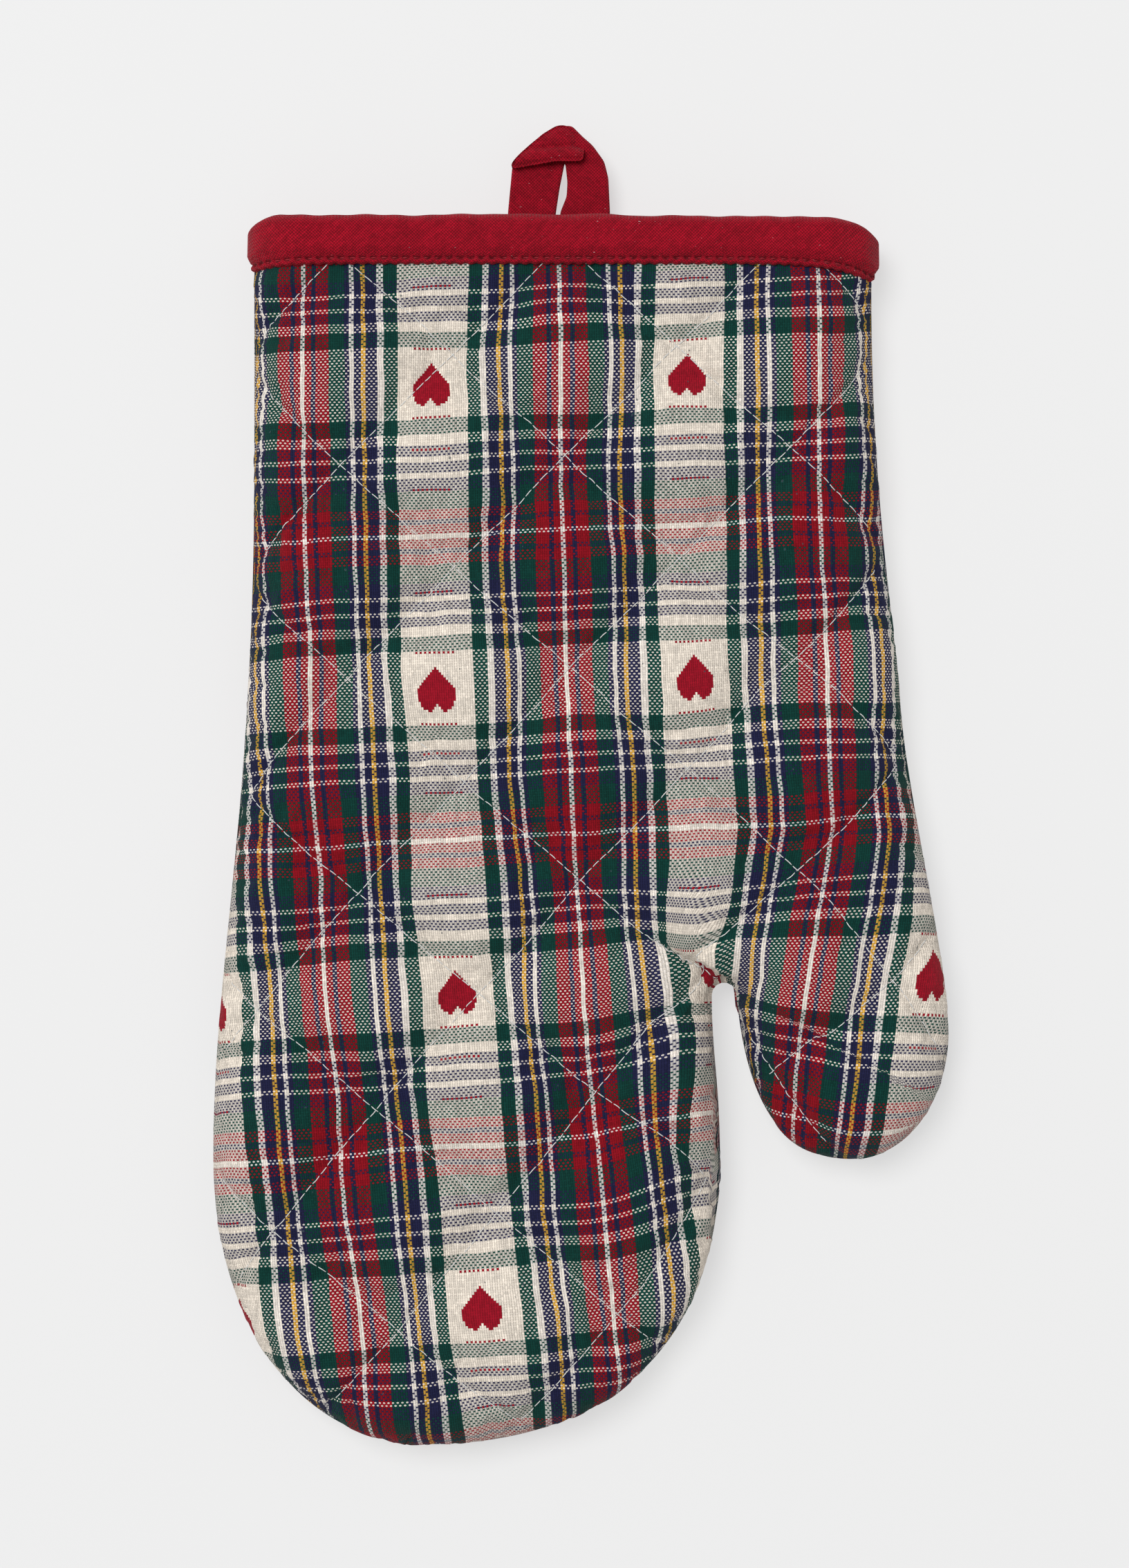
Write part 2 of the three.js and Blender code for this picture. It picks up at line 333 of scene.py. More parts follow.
def make_object(name, points, faces, cloth):
    """A mesh piece from local millimetres. cloth is each vertex's place in the weave."""
    piece, used = link_mesh(name, world(points), faces)
    mesh = piece.data
    mesh.shade_smooth()
    layer = mesh.uv_layers.new(name="cloth")
    loops = np.empty(len(mesh.loops), np.int32)
    mesh.loops.foreach_get("vertex_index", loops)
    layer.data.foreach_set("uv", np.asarray(cloth)[used][loops].astype(np.float32).ravel())
    return piece


THREAD_SIDES, THREAD_FLATNESS, THREAD_TIP = 6, 0.85, 0.35
QUILT_THREAD_RADIUS, RED_THREAD_RADIUS = 0.13, 0.2


class Tubes:
    """Many short six-sided threads in one mesh."""

    def __init__(self, radius):
        self.radius = radius
        self.points, self.faces, self.cloth = [], [], []

    def add(self, path, up):
        """A thread along path, flattened towards up, narrowing at both ends."""
        path, up = np.asarray(path, float), np.asarray(up, float)
        along = unit(np.gradient(path, axis=0))
        across = unit(np.cross(along, up))
        lift = np.cross(across, along)
        turn = np.linspace(0, 2 * math.pi, THREAD_SIDES, endpoint=False)
        first, rings = len(self.points), len(path)
        for k in range(rings):
            size = self.radius * (THREAD_TIP if k in (0, rings - 1) else 1)
            for j, angle in enumerate(turn):
                spoke = across[k] * math.cos(angle) + lift[k] * math.sin(angle) * THREAD_FLATNESS
                self.points.append(path[k] + size * spoke)
                self.cloth.append((k, j))
        starts = [first + k * THREAD_SIDES for k in range(rings)]
        for start, after in zip(starts, starts[1:]):
            self.faces += band_faces(start, after, THREAD_SIDES)
        self.faces.append([starts[0] + j for j in reversed(range(THREAD_SIDES))])
        self.faces.append([starts[-1] + j for j in range(THREAD_SIDES)])

    def make(self, name):
        return make_object(name, on_floor(self.points), self.faces, self.cloth)


def waves(seed, count, shortest, longest):
    """A smooth random field of x and y: a sum of plane waves, about -1 to 1."""
    random = np.random.default_rng(seed)
    angle = random.uniform(0, 2 * math.pi, count)
    size = 2 * math.pi / random.uniform(shortest, longest, count)
    phase = random.uniform(0, 2 * math.pi, count)

    def field(x, y):
        total = 0
        for k in range(count):
            total = total + np.sin(size[k] * (x * math.cos(angle[k]) + y * math.sin(angle[k])) + phase[k])
        return total / math.sqrt(count) / 1.6

    return field


def ramp(x, low, high):
    """Rises smoothly from 0 at low to 1 at high."""
    t = np.clip((x - low) / (high - low), 0, 1)
    return t * t * (3 - 2 * t)


def bell(x, width):
    return np.exp(-((x / width) ** 2))


# ---- The cloth of the walls ----
wall_profile = Profile(SHOULDER, HALF_HEIGHT)
VIEW_CENTRE = np.array([0.4, -139.1])    # the camera is over this place, at this height
VIEW_HEIGHT = 902.0
weave_drift = waves(11, 12, 25, 60), waves(12, 12, 25, 60)
weave_wobble = waves(15, 20, 7, 16), waves(16, 20, 7, 16)


def pleat_rise(x, y):
    """How far a point is on the cuff's side of the little pleat that runs into the crotch."""
    return (y - (CROTCH[1] + 3.9) + (x - 38.7) * 0.578) * 0.866


def cloth_place(x, y):
    """Where a point of the flattened wall lies in the weave: u across, v down, both in millimetres."""
    down = -y
    # The warp leans more and more towards the fingertips, and the weft slopes.
    lean = 12.9 * np.clip((down - HEART_V) / 224.5, 0, None) ** 1.85
    slope = 0.037 + 0.025 * np.clip((down - 40) / 150, 0, 1.6)
    u = x - lean
    v = down + slope * (x - HEART_U) - 2.7 * ramp(down, 200, 270)
    # The thumb's cloth turns outwards.
    beyond = ramp(down, 184, 196)
    thumb = ramp(x, 33 + 6 * beyond, 43 + beyond)
    outwards = np.minimum(x, 70) - 45 + 0.35 * np.clip(x - 70, 0, None)
    turn = ramp(down, 158, 203) * (4.4 - 0.235 * outwards) - 0.04 * np.clip(down - 190, 0, None)
    u += 0.215 * np.clip(down - 150, 0, None) * thumb
    v += turn * thumb
    # The pleat takes up cloth on both of its sides, which fades out away from it.
    above = pleat_rise(x, y)
    cuff_side = ramp(above, -0.3, 0.3)
    finger_side = ramp(-above, -0.3, 0.3) * (x < CROTCH[0])
    u += 9 * ramp(x, 22, 33) * ramp(above, 0, 0.7) * (1 - ramp(above, 4, 22)) * (1 - thumb)
    u -= 3.4 * ramp(x, 20, 34) * finger_side * (1 - ramp(down, 195, 225))
    taken_up = 1.6 * ramp(x, 4, 36) + 2.4 * ramp(down, 190, 200) * ramp(x, 4, 30)
    v += taken_up * finger_side * (1 - ramp(down, 235, 275))
    v -= 1.6 * ramp(x, 12, 34) * cuff_side * (1 - ramp(above, 10, 40))
    for drift, wobble, place in zip(weave_drift, weave_wobble, (u, v)):
        place += 0.55 * drift(x, y) + 0.14 * wobble(x, y)
    return u, v


def quilt_gaps(u, v):
    """Distance in the cloth from the nearest quilting line of each direction."""
    a, b = (u - QUILT_U) / QUILT_DU, (v - QUILT_V) / QUILT_DV
    reach = 2 / math.hypot(1 / QUILT_DU, 1 / QUILT_DV)
    return [np.abs(f - np.round(f)) * reach for f in ((a + b) / 2, (a - b) / 2)]


def wall_surface(points, side):
    """The puffed wall over flat points: positions, outward normals and places in the weave.

    The weave is laid out as it looks from the view, so raised cloth lies further out in it.
    """
    distance, inward = nearest_on(outline, points)
    angle, length = wall_profile.at(distance)
    edge = wall_profile.length[-1]
    spread = edge - SHOULDER + np.minimum(distance, SHOULDER) - np.minimum(length, edge)
    near_crotch = bell(np.hypot(*(points - CROTCH).T), 14)
    flat = points - inward * (spread * (1 - near_crotch))[:, None]
    rise = HALF_HEIGHT * np.sin(angle)
    flat = VIEW_CENTRE + (flat - VIEW_CENTRE) * (1 + rise / VIEW_HEIGHT)[:, None]
    u, v = cloth_place(flat[:, 0], flat[:, 1])
    slope = unit(np.stack([HALF_HEIGHT * np.cos(angle), SHOULDER * np.sin(angle)], 1))
    normal = np.column_stack([-inward * slope[:, :1], slope[:, 1] * SIDES[side]])
    body = np.column_stack([points, rise * SIDES[side]])

    gap_a, gap_b = quilt_gaps(u, v)
    pillow = (1 - np.exp(-gap_a / 6)) * (1 - np.exp(-gap_b / 6))
    crease = bell(gap_a, 1.1) + bell(gap_b, 1.1)
    seed = 3 if side == "front" else 8
    drape = waves(seed, 14, 30, 70)(*points.T) * 0.55 + waves(seed + 1, 16, 9, 18)(*points.T) * 0.12
    pucker = waves(seed + 2, 24, 4.5, 8)(*points.T) * 0.16 * np.exp(-np.minimum(gap_a, gap_b) / 5)
    at_seam = ramp(length, 0, 9)
    lift = (PUFF * (pillow - 0.62) - 0.25 * crease) * (0.35 + 0.65 * at_seam) + (drape + pucker) * at_seam
    above = pleat_rise(*points.T)
    pleat = ramp(points[:, 0], 22, 34) * (1 - ramp(points[:, 0], 41, 43)) * at_seam
    ridge = 1.1 * ramp(above, 0, 1.6) * (1 - ramp(above, 2, 14))
    lift += pleat * (ridge - 0.9 * bell(above, 1.5))
    lift -= 0.7 * bell(length, 1.0)      # the seam's groove
    lift -= (lift + 1.1) * ramp(points[:, 1], -16.5, -12.5)      # pressed flat under the binding
    return body + normal * lift[:, None], normal, u, v


# ---- The three sections, which meet where the cloth doesn't bend ----
SECTIONS = {"palm": "body", "fingers": "fingers", "thumb": "thumb"}
FINGER_CUT = -180.0
TOWARDS_THUMB = np.array([THUMB_LINE[1], -THUMB_LINE[0]])
THUMB_CUT = BEND_REACH + 2


def cut_sections(sheet):
    """Splits the sheet where its sections meet, and says which section each face belongs to."""
    cut(sheet, (0, FINGER_CUT), (0, 1))
    cut(sheet, (CROTCH[0], 0), (1, 0))
    cut(sheet, THUMB_BASE[:2] - TOWARDS_THUMB * THUMB_CUT, TOWARDS_THUMB)
    centres = np.array([sheet.points[face].mean(0) for face in sheet.faces])
    sections = np.full(len(centres), "palm", object)
    right = centres[:, 0] > CROTCH[0]
    sections[right & ((centres - THUMB_BASE[:2]) @ TOWARDS_THUMB > -THUMB_CUT)] = "thumb"
    sections[~right & (centres[:, 1] < FINGER_CUT)] = "fingers"
    return sections


def faces_by_section(sheet, sections):
    return {name: [face for face, here in zip(sheet.faces, sections) if here == name] for name in SECTIONS}


def on_floor(points):
    """The points, those that would sink into the floor pressed flat on it."""
    points = np.array(points, float)
    points[:, 2] = np.maximum(points[:, 2], -HALF_HEIGHT)
    return points


def follow(piece, section):
    """Bakes the piece's placement into its mesh, the same for every section."""
    if section == "palm":
        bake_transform(piece)
    elif section == "fingers":
        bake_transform(piece)
    else:
        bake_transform(piece)


outline = mitt_outline()
wall = Sheet(outline, wall_profile, STEP, rings=6)
cut(wall, (0, WALL_END), (0, 1), drop=True)
wall_section = cut_sections(wall)
wall_faces = faces_by_section(wall, wall_section)


def both_sides(faces, count):
    """The faces, and the same faces turned over on the next count vertices."""
    return faces + [[v + count for v in face[::-1]] for face in faces]


# ---- Node materials ----
def linear(red, green, blue):
    """A colour given as the eye sees it, 0 to 255, in linear light."""
    return tuple(c / 12.92 if c <= 0.04045 else ((c + 0.055) / 1.055) ** 2.4
                 for c in (red / 255, green / 255, blue / 255)) + (1.0,)


class Wire:
    """An output in a node tree. Arithmetic on it adds nodes."""

    def __init__(self, tree, socket):
        self.tree, self.socket = tree, socket

    def math(self, operation, *others):
        return add_node(self.tree, "ShaderNodeMath", [self, *others], operation=operation)

    __add__ = partialmethod(math, "ADD")
    __sub__ = partialmethod(math, "SUBTRACT")
    __mul__ = partialmethod(math, "MULTIPLY")
    __lt__ = partialmethod(math, "LESS_THAN")
    __gt__ = partialmethod(math, "GREATER_THAN")
    floor = partialmethod(math, "FLOOR")
    size = partialmethod(math, "ABSOLUTE")

    def is_even(self):
        return self.math("FLOORED_MODULO", 2.0) < 0.5

    def off_centre(self):
        """How far the fractional part is from its middle, 0 to 0.5."""
        return (self.math("FRACT") - 0.5).size()

    def wrapped(self, period):
        """The value brought to within half a period either side of zero."""
        return (self + period / 2).math("FLOORED_MODULO", float(period)) - period / 2

    def smooth(self, low, high, to_low=0.0, to_high=1.0):
        return add_node(self.tree, "ShaderNodeMapRange", [self, low, high, to_low, to_high],
                        interpolation_type="SMOOTHSTEP")

    def steps(self, stops):
        """Colours held constant from each position to the next."""
        node = self.tree.nodes.new("ShaderNodeValToRGB")
        node.color_ramp.interpolation = "CONSTANT"
        elements = node.color_ramp.elements
        elements[0].position, elements[0].color = 0, stops[0][1]
        elements.remove(elements[1])
        for position, colour in stops[1:]:
            elements.new(position).color = colour
        self.tree.links.new(node.inputs[0], self.socket)
        return Wire(self.tree, node.outputs[0])

    def numbers(self, levels, reach=20):
        """Numbers up to reach either side of 0, held constant over equal steps of this value from 0 to 1."""
        greys = [((level + reach) / (2 * reach),) * 3 + (1,) for level in levels]
        return self.steps([(k / len(levels), grey) for k, grey in enumerate(greys)]) * (2 * reach) - reach


def add_node(tree, kind, inputs=(), output=0, **settings):
    node = tree.nodes.new(kind)
    for name, value in settings.items():
        setattr(node, name, value)
    pairs = inputs.items() if isinstance(inputs, dict) else enumerate(inputs)
    for key, value in pairs:
        if isinstance(value, Wire):
            tree.links.new(node.inputs[key], value.socket)
        elif value is not None:
            node.inputs[key].default_value = value
    return Wire(tree, node.outputs[output])


def mix(factor, a, b, blend="MIX"):
    """Colour a blended into colour b."""
    sockets = {0: factor, 6: a, 7: b}
    return add_node(a.tree, "ShaderNodeMix", sockets, output=2, data_type="RGBA", blend_type=blend)


def choose(factor, a, b):
    """Number a where the factor is 0, number b where it is 1."""
    return add_node(a.tree, "ShaderNodeMix", {0: factor, 2: a, 3: b})


def vector(x, y, z=0.0):
    return add_node(x.tree, "ShaderNodeCombineXYZ", [x, y, z])


def noise(where, scale, detail=2.0, roughness=0.5):
    return add_node(where.tree, "ShaderNodeTexNoise",
                    {"Vector": where, "Scale": scale, "Detail": detail, "Roughness": roughness})


def tone_of(low, high, *where):
    """A random factor between low and high for each place."""
    random = add_node(where[0].tree, "ShaderNodeTexWhiteNoise", [vector(*where)], noise_dimensions="3D")
    return random.smooth(0, 1, low, high)


def brightness(colour, factor):
    """The colour multiplied by a factor."""
    grey = vector(factor, factor, factor)
    return add_node(colour.tree, "ShaderNodeVectorMath", [colour, grey], operation="MULTIPLY")


def plain_weave(one, two):
    """How far each place is from the middle of the yarn on top, in a weave of two sets of yarns."""
    return choose((one.floor() + two.floor()).is_even(), one.off_centre(), two.off_centre())


class Material:
    """A principled material. Settings are values of its shader's sockets."""

    def __init__(self, name, settings):
        self.material = bpy.data.materials.new(name)
        self.material.use_nodes = True
        self.tree = self.material.node_tree
        self.shader = self.tree.nodes["Principled BSDF"]
        for socket, value in settings.items():
            self.shader.inputs[socket].default_value = value

    def cloth(self):
        """The two coordinates of the cloth map."""
        where = add_node(self.tree, "ShaderNodeUVMap", uv_map="cloth")
        return [add_node(self.tree, "ShaderNodeSeparateXYZ", [where], output=k) for k in (0, 1)]

    def solid(self, colour):
        wire = add_node(self.tree, "ShaderNodeRGB")
        wire.socket.default_value = colour
        return wire

    def finish(self, colour, height, depth):
        """Joins up the colour and the bumps, whose depth is in millimetres."""
        sockets = {"Height": height, "Strength": 0.8, "Distance": depth * MM}
        bump = add_node(self.tree, "ShaderNodeBump", sockets)
        self.tree.links.new(self.shader.inputs["Base Color"], colour.socket)
        self.tree.links.new(self.shader.inputs["Normal"], bump.socket)
        return self.material


def fibre(roughness, sheen, specular):
    return {"Roughness": roughness, "Sheen Weight": sheen, "Specular IOR Level": specular}


CREAM, WHITE, GREEN = linear(246, 237, 225), linear(247, 241, 235), linear(14, 72, 64)
NAVY, RED, YELLOW = linear(40, 42, 80), linear(159, 18, 36), linear(230, 178, 74)
HEART_RED = linear(158, 18, 38)

WARP = [(16, CREAM), (6, GREEN), (3, WHITE), (5, NAVY), (2, YELLOW), (3, NAVY), (2, WHITE), (2, NAVY),
        (7, GREEN), (6, RED), (2, NAVY), (3, RED), (1, WHITE)]
WEFT = [(14, CREAM), (6, GREEN), (4, CREAM), (4, NAVY), (2, CREAM), (4, NAVY), (2, CREAM), (5, NAVY),
        (7, GREEN), (4, RED), (2, NAVY), (4, RED), (1, WHITE)]
HALF_ENDS, HALF_PICKS = sum(n for n, _ in WARP), sum(n for n, _ in WEFT)
HEART_TOP = [-8.6, -7.4, -6.2, -5.2, -4.4, -3.5, -2.5, -1.4, 0.0]    # in picks, by ends out from the middle
HEART_BOTTOM = [5.9, 6.6, 7.6, 8.3, 8.3, 8.1, 7.5, 6.6, 5.0]
HEART_HALF_WIDTH = 8.5                       # in ends
TICK_ROWS = -38.0, -13.5, 13.5, 25.0, 40.0   # in picks from the heart's middle


def striped(yarn, middle, sett, total):
    """The colour of a yarn by its number, in a sett that mirrors about its middle yarn."""
    stops, at = [], 0
    for count, colour in sett:
        stops.append((at / total, colour))
        at += count
    return ((yarn + (0.5 - middle)).math("PINGPONG", float(total)) * (1 / total)).steps(stops)


def plaid_material():
    """Plain weave of dyed yarns, with small red hearts and rows of ticks woven in."""
    m = Material("plaid_cotton", fibre(0.9, 0.04, 0.12))
    across, down = m.cloth()
    end, pick = across.floor(), down.floor()
    off_end, off_pick = across.off_centre(), down.off_centre()
    heart_end, heart_pick = HEART_U / END_PITCH, HEART_V / PICK_PITCH
    bead = (off_end * (1 / 0.5)).math("POWER", 2.6) + (off_pick * (1 / 0.30)).math("POWER", 2.6) < 1.0
    warp_over = (end + pick).is_even()
    weft_shows = bead * (warp_over < 0.5)        # the weft shows as rounded beads between the warp yarns

    crossing_tone = tone_of(0.93, 1.06, end, pick, 9.0)
    warp_tone = tone_of(0.9, 1.1, end, (down * 0.2).floor()) * crossing_tone
    weft_tone = tone_of(0.9, 1.1, (across * 0.2).floor(), pick, 5.0) * crossing_tone
    slub = noise(vector(end * 3.7, down * 0.35), 1.0).smooth(0.3, 0.7, 0.94, 1.06)
    warp = brightness(striped(end, heart_end, WARP, HALF_ENDS), warp_tone * slub)
    weft = brightness(striped(pick, heart_pick, WEFT, HALF_PICKS), weft_tone)
    # painted shade: each yarn is tinted darker by the colour of the other, standing in for light passing
    # through and between them
    warp, weft = mix(0.36, warp, weft, "MULTIPLY"), mix(0.30, weft, warp, "MULTIPLY")    # each dims the other

    a = (end + (0.5 - heart_end)).wrapped(2 * HALF_ENDS)
    b = (pick + (0.5 - heart_pick)).wrapped(2 * HALF_PICKS)
    aside = a.size()
    column = (aside + 0.5) * (1 / len(HEART_TOP))
    heart = (b > column.numbers(HEART_TOP)) * (b < column.numbers(HEART_BOTTOM))
    rows = [(b - row).size() < 0.5 for row in TICK_ROWS]
    ticks = sum(rows[1:], rows[0]) * (a + 0.5).floor().is_even() * (off_pick < 0.45)
    red_over = ((heart + ticks) * (aside < HEART_HALF_WIDTH)).math("MINIMUM", 1.0)

    float_tone = noise(vector(across * 0.5, pick * 2.3), 1.0).smooth(0.3, 0.7, 0.85, 1.15)
    colour = mix(red_over, mix(weft_shows, warp, weft), brightness(m.solid(HEART_RED), float_tone))
    shade = choose(weft_shows, off_end.smooth(0.1, 0.5, 1.0, 0.15), off_pick.smooth(0.1, 0.42, 1.0, 0.1))
    fuzz = noise(vector(across * 3.1, down * 3.1), 1.0, 3.0, 0.7)
    nep = noise(vector(across * 0.5, down * 0.5, 3.0), 1.0, 0.0).smooth(0.83, 0.86, 0.0, 0.7)
    colour = mix(nep, colour, linear(70, 84, 92))        # a few dark specks caught in the yarn
    colour = brightness(colour, shade.smooth(0, 1, 0.62, 1.04) * fuzz.smooth(0.25, 0.75, 0.95, 1.05))
    return m.finish(colour, shade + fuzz * 0.5, depth=0.14)


def tape_material(name, tone, stitch_pitch=None):
    """Red cotton tape cut on the bias: a plain weave turned to 45 degrees, with some lint."""
    m = Material(name, fibre(0.88, 0.06, 0.12))
    along, across = m.cloth()
    one, two = (along + across) * 1.3, (along - across) * 1.3
    height = plain_weave(one, two).smooth(0.1, 0.5, 1.0, 0.0)
    yarn_tone = tone_of(0.88, 1.12, one.floor(), (two * 0.25).floor())
    patches_and_dimple_shade = noise(vector(along, across), 0.18, 3.0).smooth(0.3, 0.7, 0.93, 1.07)
    patches_and_dimple_shade = patches_and_dimple_shade * noise(vector(along * 0.6, across), 1.3, 2.0, 0.6).smooth(0.3, 0.7, 0.86, 1.14)
    base = m.solid(tuple(c * tone for c in linear(160, 10, 34)[:3]) + (1,))
    fuzz = noise(vector(along, across), 5.0, 4.0, 0.7)
    if stitch_pitch:                       # painted shade: the tape is darkened where the needle pulls it into dimples, one under each stitch
        row = (across - 2.9).size().smooth(0.3, 1.0, 1.0, 0.0)
        painted_dimple_shade = (along * (1 / stitch_pitch)).off_centre().smooth(0.2, 0.42, 1.0, 0.25)
        patches_and_dimple_shade = patches_and_dimple_shade * (row * painted_dimple_shade).smooth(0, 1, 1.0, 0.5)
    # painted shade: the colour is darker between the yarns and lighter on their crowns
    colour = brightness(base, height.smooth(0, 1, 0.42, 1.2) * yarn_tone * patches_and_dimple_shade)
    lint = noise(vector(along * 0.9, across * 2.5), 0.9, 1.0).smooth(0.76, 0.80, 0.0, 0.6)
    colour = mix(lint, colour, linear(225, 190, 190))
    return m.finish(colour, height + fuzz * 0.6, depth=0.13)


def thread_material(name, colour):
    """Plied sewing thread, its twist showing as slanting bands, with painted shade towards each band's edges.
    """
    m = Material(name, fibre(0.6, 0.15, 0.35))
    along, around = m.cloth()
    band = (along * 1.4 + around * 0.5).off_centre()
    fuzz = noise(vector(along, around), 3.0, 3.0).smooth(0.3, 0.7, 0.92, 1.06)
    return m.finish(brightness(m.solid(colour), band.smooth(0.05, 0.5, 1.05, 0.78) * fuzz), band, depth=0.05)


def plain_cloth_material(name, colour):
    """Undyed plain weave, two yarns to a millimetre."""
    m = Material(name, fibre(0.92, 0.1, 0.25))
    across, down = (where * 2.0 for where in m.cloth())
    height = plain_weave(across, down).smooth(0.1, 0.5, 1.0, 0.0)
    yarn_tone = tone_of(0.93, 1.05, across.floor(), (down * 0.2).floor())
    shade = height.smooth(0, 1, 0.8, 1.04) * yarn_tone
    return m.finish(brightness(m.solid(colour), shade), height, depth=0.1)


plaid = plaid_material()
tape = tape_material("red_tape", tone=0.90)
red_thread = thread_material("red_thread", linear(154, 14, 36))
white_thread = thread_material("white_thread", linear(226, 226, 224))
cream_cloth = plain_cloth_material("lining_cotton", linear(228, 218, 200))


def dress(piece, material):
    piece.data.materials.append(material)


# ---- The two walls: outer fabric over wadding ----
CLOTH_SHIFT = {"front": (0.0, 0.0), "back": (19.0, -27.0)}
SEAM_SIDE = 0.2          # quilting stops where the wall turns steeper than this towards the side seam
PRESSED = 0.6            # the back wall is this much flatter than the front
HELD_REACH = 0.8         # the simulated cloth is held this near to a quilting line
HELD_MOUTH = -17.0       # and from here to the mouth

SIM_SCALE = 0.01         # metres to a millimetre: the cloth is simulated at ten times its size
SIM_FRAMES = 20
SIM_CAP = 3.0            # the most that a point may move, in millimetres


def swell(points, held):
    """The wall after a short cloth simulation under pressure, the held points staying in place."""
    form, used = link_mesh("swelling", points * SIM_SCALE, wall.faces)
    form.vertex_groups.new(name="held").add(np.flatnonzero(held[used]).tolist(), 1.0, "REPLACE")
    modifier = form.modifiers.new("cloth", "CLOTH")
    cloth = modifier.settings
    cloth.quality, cloth.mass = 4, 0.3
    cloth.tension_stiffness = cloth.compression_stiffness = 15
    cloth.shear_stiffness, cloth.bending_stiffness = 5, 0.05
    cloth.vertex_group_mass = "held"
    cloth.shrink_min = -0.03                 # the cloth is a little longer than its place, so it wrinkles
    cloth.use_pressure, cloth.uniform_pressure_force = True, 3
    cloth.effector_weights.gravity = 0
    modifier.point_cache.frame_end = SIM_FRAMES
    for number in range(1, SIM_FRAMES + 1):
        scene.frame_set(number)
    result = form.evaluated_get(bpy.context.evaluated_depsgraph_get()).data
    moved = np.empty(len(used) * 3)
    result.vertices.foreach_get("co", moved)
    move = moved.reshape(-1, 3) / SIM_SCALE - points[used]
    size = np.linalg.norm(move, axis=1)[:, None]
    swollen = points.copy()
    swollen[used] += move * np.minimum(1, SIM_CAP / np.maximum(size, 1e-6))
    bpy.data.objects.remove(form)
    scene.frame_set(1)
    return swollen


class Wall:
    """One puffed wall, with its place in the weave. The back wall is pressed flat on the floor."""

    def __init__(self, side):
        self.points, self.normals, u, v = wall_surface(wall.points, side)
        self.place = np.column_stack([u, v])
        held = (np.minimum(*quilt_gaps(u, v)) < HELD_REACH) | wall.rim | (wall.points[:, 1] > HELD_MOUTH)
        self.points = swell(self.points, held)
        if side == "back":
            self.points[:, 2] = np.maximum(self.points[:, 2] + PRESSED, -HALF_HEIGHT)
            self.points[wall.rim, 2] -= PRESSED
        self.cloth = (self.place + CLOTH_SHIFT[side]) / (END_PITCH, PICK_PITCH)
        self.flat = BVHTree.FromPolygons([(a, b, 0) for a, b in self.place], wall.faces)

    def at(self, u, v):
        """Position, normal and section of the wall at a place in its cloth, or None beyond its shoulder."""
        hit = self.flat.ray_cast(Vector((u, v, 1)), Vector((0, 0, -1)))
        if hit[2] is None:
            return None
        face = wall.faces[hit[2]]
        weight = np.array(poly_3d_calc([Vector((*self.place[corner], 0)) for corner in face], hit[0]))
        normal = weight @ self.normals[face]
        if abs(normal[2]) < SEAM_SIDE:
            return None
        return weight @ self.points[face], normal, wall_section[hit[2]]


walls = {side: Wall(side) for side in SIDES}

for section, label in SECTIONS.items():
    piece = make_object(
        "outer_" + label,
        np.concatenate([walls["front"].points, walls["back"].points]),
        both_sides(wall_faces[section], len(wall.points)),
        np.concatenate([walls["front"].cloth, walls["back"].cloth]),
    )
    dress(piece, plaid)
    nodes = [f"{side}_{layer}_{section}" for side in SIDES for layer in ("outer", "wadding")]
    if section == "palm":
        nodes += ["front_outer_cuff", "front_wadding_cuff"]
    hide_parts(*nodes)
    follow(piece, section)


# ---- Quilting thread: running stitches along both families of lines ----
QUILT_STEP = 0.5         # spacing of the places along a line of stitching


def quilting_lines():
    """Each line of stitching as places in the cloth, a step apart."""
    along = np.arange(-9, 11, QUILT_STEP / math.hypot(QUILT_DU, QUILT_DV))
    for n in range(-8, 9):
        for sign in (1, -1):
            yield np.column_stack([QUILT_U + QUILT_DU * (2 * n - sign * along), QUILT_V + QUILT_DV * along])


def quilt_threads():
    """Stitches of five or six steps, left out where the wall turns away."""
    random = np.random.default_rng(21)
    threads = {section: Tubes(QUILT_THREAD_RADIUS) for section in SECTIONS}
    for side, side_wall in walls.items():
        for line in quilting_lines():
            found = [side_wall.at(u, v) for u, v in line]
            k = int(random.integers(0, 5))
            while k + 5 < len(found):
                count = 6
                if None not in found[k:k + 6] and random.random() >= 0.75:
                    count = 7
                run = found[k:k + count]
                if None in run:
                    k += 1
                    continue
                points, normals = np.array([hit[0] for hit in run]), np.array([hit[1] for hit in run])
                arch = np.sin(np.linspace(0, math.pi, len(run)))
                sway = np.cross(np.gradient(points, axis=0), normals)
                sway *= (random.uniform(-0.16, 0.16) * arch)[:, None] / QUILT_STEP
                path = points + normals * (-0.2 + 0.42 * arch**0.4)[:, None] + sway
                threads[run[2][2]].add(path, normals)
                k += count - 1
    return threads


for section, thread in quilt_threads().items():
    piece = thread.make("quilting_thread_" + SECTIONS[section])
    dress(piece, white_thread)
    follow(piece, section)


# ---- Lining and seam allowances, inside ----
LINING_SHOULDER = 8.0    # how far in from its edge the lining becomes flat
LINING_EDGE, LINING_STEP = 2.6, 2.8      # mesh spacing along its edge and inside it
lining_profile = Profile(LINING_SHOULDER, CAVITY)
lining_side = inset(outline, WALL_DEPTH)
lining_side = lining_side[lining_side[:, 1] < 0]
corner_left, corner_right = ((sign * (CUFF_HALF_WIDTH - WALL_DEPTH), OVERRUN) for sign in (-1, 1))
lining_outline = resample(np.vstack([corner_left, lining_side, corner_right, corner_left]), LINING_EDGE)[:-1]
lining = Sheet(lining_outline, lining_profile, LINING_STEP, rings=3)
cut(lining, (0, WALL_END), (0, 1), drop=True)
lining_faces = faces_by_section(lining, cut_sections(lining))


